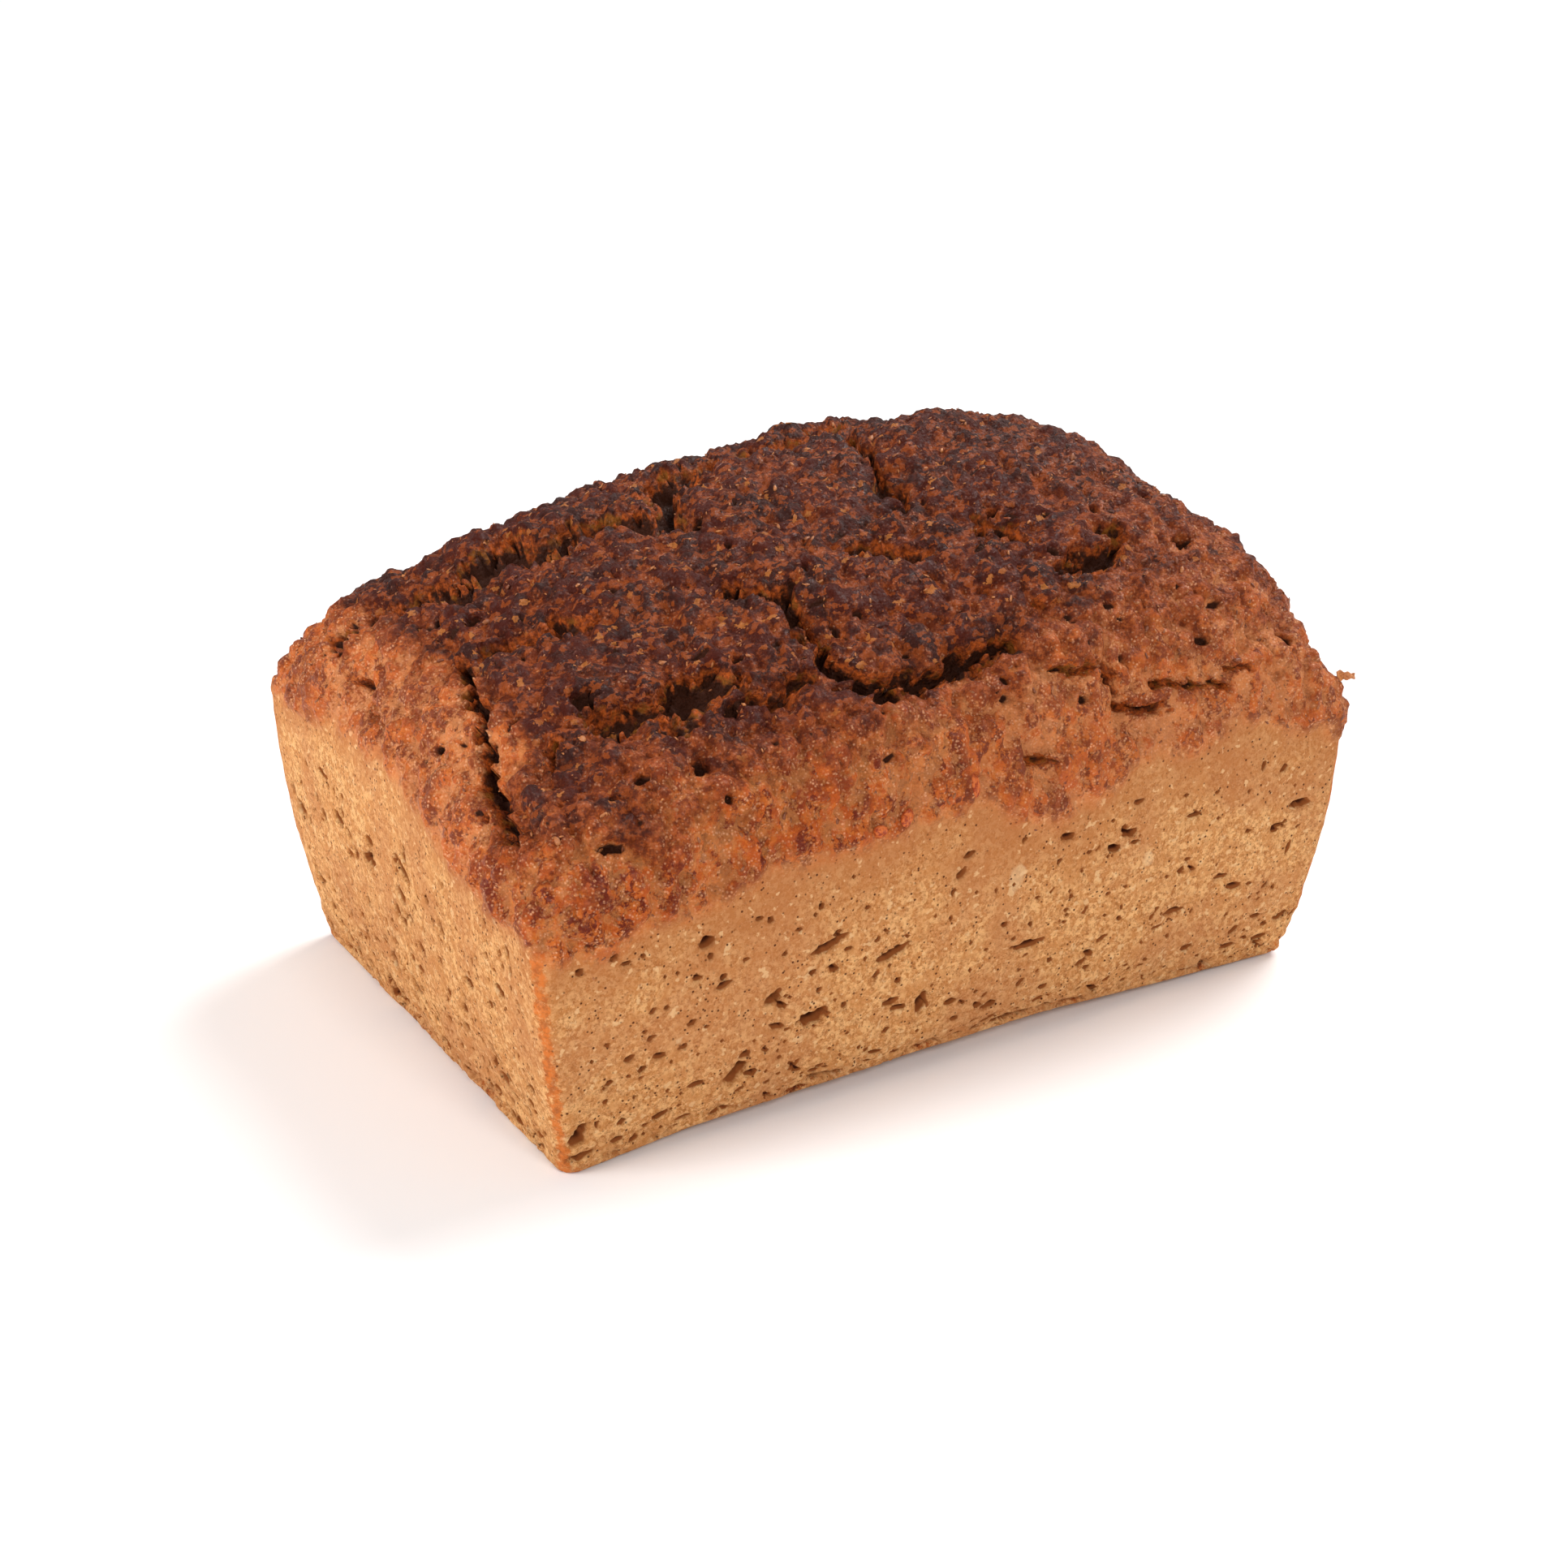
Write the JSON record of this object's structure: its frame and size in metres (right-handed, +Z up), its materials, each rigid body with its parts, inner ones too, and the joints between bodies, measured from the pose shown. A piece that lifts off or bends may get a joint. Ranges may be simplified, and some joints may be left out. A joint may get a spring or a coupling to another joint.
{
  "type": "rye tin loaf",
  "caption": "Small rye bread baked in a tin: flat tapered sides, a domed dark crust split along its ridge, open pores near the base.",
  "frame": {"origin": "middle of the flat underside, on the surface that the loaf stands on", "axes": "+X along the loaf, towards its taller end; +Z up; -Y is the long side nearer to the viewer"},
  "size_m": [0.1606, 0.1104, 0.0937],
  "materials": {
    "crust": "baked rye crust: dark brown on the crown, orange-brown at the rim, matte tan with open pores on the tin sides"
  },
  "bodies": {
    "root": {"loaf": "crust"}
  },
  "joints": []
}
